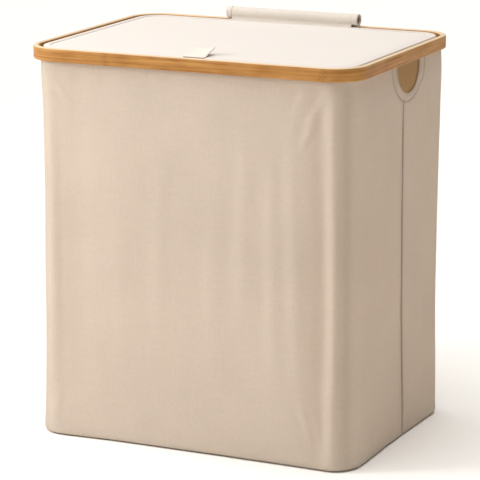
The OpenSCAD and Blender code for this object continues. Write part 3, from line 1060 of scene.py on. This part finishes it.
def make_hole_roll(side, name, middle):
    """The rolled edge of a hand hole."""
    edge = hole_edge(1.0 * MM)
    centres, out = wall_place(beside_hole(edge, side, middle), np.minimum(edge[:, 1], RIM_BOTTOM))
    centres[:, 2] = edge[:, 1]
    centres -= out * 1.05 * MM
    inward = np.column_stack([np.zeros(len(edge)), -edge_normals(edge)])
    outward = np.tile([1.0, 0, 0], (len(edge), 1))
    radii = (1.5 * MM, 0.9 * MM)
    mark_roll(rolled_edge("hole_roll_" + name, centres, outward, inward, radii, CANVAS, "basket"), side)


def mark_roll(obj, side):
    """The rolled edge gets painted shade on its inner side, which faces into the hole, and where it turns in
    behind the wall.
    """
    place = np.array([v.co for v in obj.data.vertices])
    reach = np.hypot(place[:, 1] - HOLE_Y, np.minimum(place[:, 2], HOLE_ARC_Z) - HOLE_ARC_Z)
    inner = np.clip((HOLE_R - 0.1 * MM - reach) / (0.7 * MM), 0, 1)
    deep = np.clip((side * (WALL_A - 1.2 * MM) - place[:, 0]) * side / (1.0 * MM), 0, 1)
    mark(obj, np.maximum(inner, deep).astype(np.float32) * 0.8)


def hole_edge(step, margin=0.0, top=None):
    """Points (y, z) down one side of the hand hole, round its foot and up the other side."""
    top = RIM_BOTTOM + 1 * MM if top is None else top
    r = HOLE_R + margin
    count = int(math.pi * r / step)
    angles = np.linspace(math.pi, 2 * math.pi, count)
    arc = [(HOLE_Y + r * math.cos(t), HOLE_ARC_Z + r * math.sin(t)) for t in angles]
    down = [(HOLE_Y - r, z) for z in np.arange(top, HOLE_ARC_Z, -step)]
    up = [(HOLE_Y + r, z) for z in np.arange(top, HOLE_ARC_Z, -step)][::-1]
    return np.array(down + arc[1:-1] + up)


def edge_normals(edge):
    """Unit normals of a polyline in its own plane, to its left as it is walked."""
    along = np.gradient(edge, axis=0)
    along /= np.linalg.norm(along, axis=1)[:, None]
    return np.column_stack([-along[:, 1], along[:, 0]])


def facing_outline(top):
    """The facing's own outline, out round its edge and back round the hole."""
    inner = hole_edge(3 * MM, 0.0, top)
    outer = hole_edge(3 * MM, (FACING_HIGH.y - FACING_LOW.y) / 2 - HOLE_R, top)
    return np.concatenate([outer, inner[::-1]])


def stitch_line(middle, margin):
    """(s, z) points at a margin round the hand hole, up to the rim."""
    edge = hole_edge(1.5 * MM, margin, RIM_BOTTOM - 1 * MM)
    return np.column_stack([edge[:, 0] - HOLE_Y + middle, edge[:, 1]])


def on_wall(flat):
    """Points and normals on the canvas for (s, z) places."""
    flat = np.asarray(flat, float)
    return wall_place(flat[:, 0], flat[:, 1])


def make_seam_tapes():
    """Tape sewn flat over each side seam inside."""
    rows = []
    for side, name in SIDES:
        low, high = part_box("seam_tape_" + name)
        half = (high.y - low.y) / 2
        seam = S_RIGHT if side > 0 else S_LEFT

        def place(u, v, seam=seam):
            points, normals = wall_place(seam + u, v)
            return points - normals * (CANVAS_T + 0.48 * MM)

        obj = cloth_strip(
            "tape_" + name, np.linspace(-half, half, 7), np.arange(low.z, high.z, 5 * MM), place,
            0.8 * MM, TAPE, "basket", ["seam_tape_" + name],
        )
        heights = np.arange(low.z + 3 * MM, high.z - 3 * MM, 4 * MM)
        for edge in (-half + 2 * MM, half - 2 * MM):
            points, normals = wall_place(np.full(len(heights), seam + edge), heights)
            rows.append((points - normals * (CANVAS_T + 0.88 * MM), -normals))
    stitches("tape_stitches", rows, "basket", THREAD_LIGHT)


def make_base():
    """The base cloth, and its binding up the wall inside."""
    count = int(WALL_LENGTH / (4 * MM))
    s = np.arange(count) * WALL_LENGTH / count
    foot, outward = wall_place(s, np.full(count, WALL_LOW.z))
    outline = foot[:, :2] - outward[:, :2] * 0.8 * MM
    ring = foot[:, :2] - outward[:, :2] * 6 * MM
    flat, faces = sheet_points(outline, 7 * MM, [ring])
    sag = 0.25 * MM * (1 + wave(flat[:, 0], flat[:, 1], 14, 14, 2.2))
    z = CLOTH_HIGH.z - 0.05 * MM - sag * 0.4
    obj = level_sheet("base_sheet", flat, z, faces, 1.2 * MM, CANVAS, "basket", "base_cloth")

    low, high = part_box("base_binding")
    depth = CANVAS_T + 0.5 * MM

    def binding(u, v):
        points, normals = wall_place(u, v)
        return points - normals * depth

    u, v = np.linspace(0, WALL_LENGTH, count + 1), np.linspace(low.z + 0.2 * MM, high.z, 7)
    obj = cloth_strip(
        "base_tape", u, v, binding, 0.85 * MM, TAPE, "basket", ["base_binding"], loop=True,
    )
    points, normals = wall_place(s, np.full(count, high.z - 2 * MM))
    stitches("base_stitches", [(points - normals * (depth + 0.42 * MM), -normals)], "basket", THREAD_LIGHT)


def make_board_cover():
    """The board's cloth cover: a closed form with a rounded edge and a sewn line round it."""
    a, b, r = BOARD_HIGH.x, BOARD_HIGH.y, 46 * MM
    seam = 6 * MM
    edge = 0.3 * MM
    rim = [0.4 * MM, 1.0 * MM, 2.0 * MM, 4 * MM, 8 * MM]
    flat, faces = plan_sheet(a, b, r, rim, 8 * MM)
    depth = np.clip(depth_in(flat[:, 0], flat[:, 1], a, b, r), 0, 1)
    half = (BOARD_HIGH.z - BOARD_LOW.z) / 2
    round_off = np.sqrt(1 - (1 - np.clip(depth / (3 * MM), 0, 1)) ** 2)
    height = edge + (half - edge) * round_off
    height -= 0.25 * MM * bell(depth - seam, 0.8 * MM)
    height += 0.25 * MM * wave(flat[:, 0], flat[:, 1], 12, 12, 5.5) * np.clip(depth / (12 * MM), 0, 1)
    middle = (BOARD_HIGH.z + BOARD_LOW.z) / 2
    obj = level_sheet(
        "board_cover", flat, middle + height, faces, (2 * height)[:, None], CANVAS_IN, "base_insert",
        "base_board_cover",
    )
    row = stitch_ring(a, b, r, seam, 260, middle + half - 0.2 * MM)
    stitches("board_stitches", [row], "base_insert", THREAD_LIGHT)


def make_rod_sleeves():
    """Fabric sleeves round the corner rods, a little puckered."""
    for corner in ("front_left", "front_right", "rear_left", "rear_right"):
        node = "rod_sleeve_" + corner
        low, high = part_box(node)
        cx, cy = (low.x + high.x) / 2, (low.y + high.y) / 2
        radius = (high.x - low.x) / 2 - 0.45 * MM
        girth = 2 * math.pi * radius
        seed = 3.1 * cx + 7.7 * cy

        def place(u, v, cx=cx, cy=cy, radius=radius, seed=seed):
            angle = u / radius
            pucker = 0.22 * MM * wave(np.cos(angle) * 0.01 + seed, v, 70, 45, 6.1)
            r = radius + pucker - 0.15 * MM
            return np.column_stack([cx + r * np.cos(angle), cy + r * np.sin(angle), v])

        obj = cloth_strip(
            "sleeve_" + corner, np.linspace(0, girth, 21), np.arange(low.z, high.z, 5 * MM), place,
            0.8 * MM, CANVAS_IN, "basket", [node], loop=True,
        )


# ---------------------------------------------------------------- lid
LID_A, LID_B, LID_R = LID_HIGH.x, LID_HIGH.y, 30.5 * MM
HEM = 9 * MM
LID_MARGIN = 2.2 * MM


def make_lid():
    """The lid's top and under cloths, the binding that closes its edge, and its stitching."""
    make_lid_top()
    make_lid_under()
    make_lid_edge()
    depth = HEM - 2.0 * MM
    rows = [
        stitch_ring(LID_A, LID_B, LID_R, depth, 360, LID_HIGH.z + 0.13 * MM),
        stitch_ring(LID_A, LID_B, LID_R, depth, 360, LID_LOW.z, DOWN),
    ]
    stitches("lid_stitches", rows, "lid", THREAD_LID)


def make_lid_top():
    """The top cloth: full over the board, and lower where the binding covers it."""
    a, b, r = (size - LID_MARGIN for size in (LID_A, LID_B, LID_R))
    rings = [4 * MM] + [HEM - LID_MARGIN + d * MM for d in (-1.2, -0.3, 0.6, 2, 5)]
    flat, faces = plan_sheet(a, b, r, rings, 6 * MM)
    depth = depth_in(flat[:, 0], flat[:, 1], LID_A, LID_B, LID_R)
    swell = np.clip((depth - HEM) / (7 * MM), 0, 1)
    swell = swell * swell * (3 - 2 * swell)
    z = LID_HIGH.z - 0.75 * MM + 0.75 * MM * swell
    z += 0.25 * MM * wave(flat[:, 0], flat[:, 1], 9, 9, 1.1) * swell
    z += 0.10 * MM * wave(flat[:, 0], flat[:, 1], 34, 34, 2.1) * swell
    obj = level_sheet("lid_top", flat, z, faces, 0.55 * MM, LIGHT, "lid", "lid_cover_top")


def make_lid_under():
    """The cloth under the lid, a little uneven."""
    a, b, r = (size - LID_MARGIN for size in (LID_A, LID_B, LID_R))
    rings = [4 * MM, HEM - LID_MARGIN, HEM - LID_MARGIN + 3 * MM]
    flat, faces = plan_sheet(a, b, r, rings, 8 * MM)
    z = LID_LOW.z + 0.95 * MM - 0.12 * MM * (1 + wave(flat[:, 0], flat[:, 1], 16, 16, 7.1))
    obj = level_sheet("lid_under", flat, z, faces, 0.5 * MM, LIGHT, "lid", "lid_cover_bottom")


def make_lid_edge():
    """The binding folded round the lid's edge, from its top hem to its under hem."""
    top, low = LID_HIGH.z, LID_LOW.z
    profile = soften([
        (HEM, top - 0.05 * MM), (HEM - 1.5 * MM, top + 0.15 * MM), (4 * MM, top + 0.12 * MM),
        (1.0 * MM, top - 0.1 * MM), (0.05 * MM, top - 1.4 * MM), (0.05 * MM, low + 1.5 * MM),
        (1.0 * MM, low + 0.1 * MM), (4 * MM, low), (HEM - 1.0 * MM, low), (HEM, low + 0.1 * MM),
    ])
    inner = [
        (HEM, low + 0.75 * MM), (3 * MM, low + 0.75 * MM), (1.1 * MM, low + 1.6 * MM),
        (1.1 * MM, top - 1.6 * MM), (3 * MM, top - 0.75 * MM), (HEM, top - 0.75 * MM),
    ]
    section = [tuple(p) for p in profile] + inner
    obj = hoop("lid_edge", LID_A, LID_B, LID_R, section, LIGHT, "lid", ["lid_binding"])


def arc_points(radius, start, end, count):
    """(y, z) points round the hinge axis, from one angle to another in degrees."""
    angles = np.radians(np.linspace(start, end, count))
    return [(AXIS_Y + radius * math.cos(t), AXIS_Z + radius * math.sin(t)) for t in angles]


def make_hinge_sleeve():
    """The lid's cloth tube round the dowel, with its flap sewn to the lid."""
    top = LID_HIGH.z
    r = TUBE_R - 0.65 * MM
    flap_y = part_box("lid_hinge_flap")[0].y + 0.6 * MM
    # the flap's way up to the tube and back down, in mm from its root on the lid
    rise = ((-3.6, 0.5), (-1.5, 0.55), (0.2, 1.0), (0.7, 2.5), (0.9, 4.5))
    fall = ((2.1, 4.2), (1.9, 0.9))
    path = [(flap_y + y * MM, top + z * MM) for y, z in rise]
    path += arc_points(r, 214, -134, 44)
    path += [(flap_y + y * MM, top + z * MM) for y, z in fall]
    path = soften(path, 1)
    length = polyline_length(path)
    low_x, high_x = TUBE_LOW.x, TUBE_HIGH.x

    def place(u, v):
        yz, away, reach = from_axis(path, u)
        free = np.clip((r + 1 * MM - np.abs(reach - r)) / r, 0, 1) * (reach < r + 0.4 * MM)
        ripple = 0.22 * MM * wave(u, v, 55, 16, 3.7) + 0.12 * MM * wave(u, v, 20, 90, 5.7)
        hem = 0.18 * MM * (bell(v - low_x - 3 * MM, 2 * MM) + bell(high_x - 3 * MM - v, 2 * MM))
        return np.column_stack([v, yz + away * ((ripple + hem - 0.25 * MM) * free)[:, None]])

    v = np.concatenate([
        [low_x, low_x + 0.7 * MM], np.arange(low_x + 2 * MM, high_x - 2 * MM, 3 * MM),
        [high_x - 1.4 * MM, high_x - 0.5 * MM, high_x],
    ])
    obj = cloth_strip(
        "hinge_sleeve", np.linspace(0, length, 88), v, place, 1.0 * MM, TUBE_CLOTH, "lid",
        ["lid_hinge_sleeve", "lid_hinge_flap"],
    )
    x = np.arange(low_x + 3 * MM, high_x - 2 * MM, 3 * MM)
    points = np.column_stack([x, np.full(len(x), flap_y - 2.4 * MM), np.full(len(x), top + 1.02 * MM)])
    stitches("hinge_stitches", [(points, np.tile(UP, (len(x), 1)))], "lid", THREAD_LID)


def from_axis(path, u):
    """Points along a path, and the unit ways and distances to them from the hinge axis."""
    yz = path_place(path, u)
    away = yz - np.array([AXIS_Y, AXIS_Z])
    reach = np.linalg.norm(away, axis=1)
    return yz, away / reach[:, None], reach


def make_hinge_loop(side, name):
    """A loop of cloth round the dowel, with both its ends down between the wall and the rim."""
    low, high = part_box("hinge_loop_" + name)
    tail_y = (WALL_B + RIM_B - STRIP_T) / 2
    ring_r = TUBE_R - 0.8 * MM
    tail = [(tail_y - 0.3 * MM, low.z), (tail_y - 0.3 * MM, RIM_TOP - 1 * MM)]
    path = tail + arc_points(ring_r, 262, -82, 40)
    path += [(tail_y + 0.3 * MM, RIM_TOP - 1 * MM), (tail_y + 0.3 * MM, low.z)]
    length = polyline_length(path)

    def place(u, v):
        yz, away, reach = from_axis(path, u)
        ripple = 0.15 * MM * wave(u, v, 60, 60, 4.4 + side) * (reach < ring_r + 0.3 * MM)
        return np.column_stack([v, yz + away * ripple[:, None]])

    def thickness(u, v):
        return np.where(from_axis(path, u)[2] < ring_r + 0.3 * MM, 1.35 * MM, 0.55 * MM)

    obj = cloth_strip(
        "loop_" + name, np.linspace(0, length, 110), np.linspace(low.x, high.x, 6), place, thickness,
        TUBE_CLOTH, "basket", ["hinge_loop_" + name],
    )


def make_tab():
    """The pull tab: a strip of cloth, sewn down at its tail and free beyond the fold."""
    pivot_y, pivot_z = TAB_PIVOT[1:]
    tail_z = TAIL_LOW.z + 0.45 * MM
    reach = 27 * MM
    rise = math.radians(15)
    path = [(TAIL_LOW.y, tail_z), (TAIL_HIGH.y - 0.5 * MM, tail_z), (pivot_y - 0.8 * MM, pivot_z - 0.25 * MM)]
    for k in range(15):
        d = reach * k / 14
        curl = 0.5 * MM * math.sin(math.pi * k / 14)
        path.append((pivot_y + d * math.cos(rise), pivot_z + d * math.sin(rise) - curl))
    length = polyline_length(path)

    def place(u, v):
        yz = path_place(path, u)
        free = np.clip((u - 5 * MM) / (10 * MM), 0, 1)
        bow = 0.9 * MM * free * ((v - TAB_MIDDLE) / (14 * MM)) ** 2
        ripple = 0.25 * MM * free * wave(u, v, 60, 70, 9.9)
        return np.column_stack([v, yz[:, 0], yz[:, 1] + bow + ripple])

    v = np.linspace(TAB_LOW.x, TAB_HIGH.x, 19)
    u = np.linspace(0, length, 34)
    obj = cloth_strip("tab", u, v, place, 0.9 * MM, TAB_CLOTH, None, ["pull_tab", "tab_tail"])
    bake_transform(obj)
    edge = 1.8 * MM
    left, right, foot, end = TAB_LOW.x + edge, TAB_HIGH.x - edge, 4 * MM, length - edge
    rows = []
    for (u0, v0), (u1, v1) in (
        ((foot, left), (end, left)), ((end, left), (end, right)), ((end, right), (foot, right)),
    ):
        points = place(np.linspace(u0, u1, 12), np.linspace(v0, v1, 12))
        points[:, 2] += 0.45 * MM
        rows.append((points, np.tile([0, -math.sin(rise), math.cos(rise)], (12, 1))))
    obj = stitches("tab_stitches", rows, None, THREAD_LID, (1.8, 2.6, 0.2))
    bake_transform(obj)


def finish_cad_nodes():
    """Looks for the hard parts, which the frame's own nodes show."""
    looks = {"rim_brads": STEEL, "rod_end_caps": CAP, "base_board": BOARD, "lid_board": BOARD}
    looks["hinge_dowel"] = DOWEL
    for corner in ("front_left", "front_right", "rear_left", "rear_right"):
        looks["rod_" + corner] = ROD
    for node, material in looks.items():
        mesh = frame["nodes"][node].data
        mesh.materials.clear()
        mesh.materials.append(material)


# ---------------------------------------------------------------- stage, light and camera
def make_stage():
    """A plain pale floor and an even, dim surrounding."""
    size = 12.0
    corners = [(-size, -size, 0), (size, -size, 0), (size, size, 0), (-size, size, 0)]
    pale = plain("floor_pale", (0.965, 0.95, 0.925), 0.9, grain=3, relief=0, variation=0.0)
    floor = new_piece("floor", corners, [(0, 1, 2, 3)], pale, None)
    world = bpy.data.worlds.new("studio")
    bpy.context.scene.world = world
    world.use_nodes = True
    background = world.node_tree.nodes["Background"].inputs
    background["Color"].default_value = (1.0, 0.92, 0.82, 1)
    background["Strength"].default_value = 0.22


def make_light(name, kind, place, turn, energy, colour, **shape):
    """A light at a place, turned by a quaternion."""
    light = bpy.data.lights.new(name, kind)
    light.energy = energy
    light.color = colour
    for key, value in shape.items():
        setattr(light, key, value)
    obj = bpy.data.objects.new(name, light)
    bpy.context.scene.collection.objects.link(obj)
    obj.location = place
    obj.rotation_euler = turn.to_euler()


def make_lights():
    """A soft key light from the front left, and a broad sun overhead."""
    place = Vector((-1.05, -0.83, 0.95))
    aim = (Vector((0, 0, 0.28)) - place).to_track_quat("-Z", "Y")
    make_light("key", "AREA", place, aim, 10.5, (0.98, 0.99, 1.0), shape="DISK", size=0.45)
    above = Vector((-0.12, -0.06, 1.0)).to_track_quat("Z", "Y")
    make_light("overhead", "SUN", (0, 0, 0), above, 2.9, (1.0, 0.995, 0.985), angle=math.radians(70))


def make_camera():
    """The camera, at the viewing angle of the picture."""
    azimuth, elevation, distance = math.radians(25.57), math.radians(13.2), 3.284
    target = Vector((0.0317, -0.0737, 0.2586))
    level = math.cos(elevation)
    back = Vector((math.sin(azimuth) * level, -math.cos(azimuth) * level, math.sin(elevation)))
    camera = bpy.data.objects.new("camera", bpy.data.cameras.new("camera"))
    bpy.context.scene.collection.objects.link(camera)
    camera.location = target + back * distance
    roll = math.radians(-0.27)
    turn = (-back).to_track_quat("-Z", "Y").to_matrix().to_4x4()
    camera.matrix_world = Matrix.Translation(camera.location) @ turn @ Matrix.Rotation(roll, 4, "Z")
    camera.data.lens = 197
    camera.data.sensor_width = 36
    camera.data.clip_end = 60
    bpy.context.scene.camera = camera
    bpy.context.scene.view_settings.view_transform = "Standard"


make_camera()
make_stage()
make_lights()
make_rim()
make_walls()
make_facings()
make_seam_tapes()
make_base()
make_board_cover()
make_rod_sleeves()
make_lid()
make_hinge_sleeve()
make_hinge_loop(-1, "left")
make_hinge_loop(1, "right")
make_tab()
finish_cad_nodes()
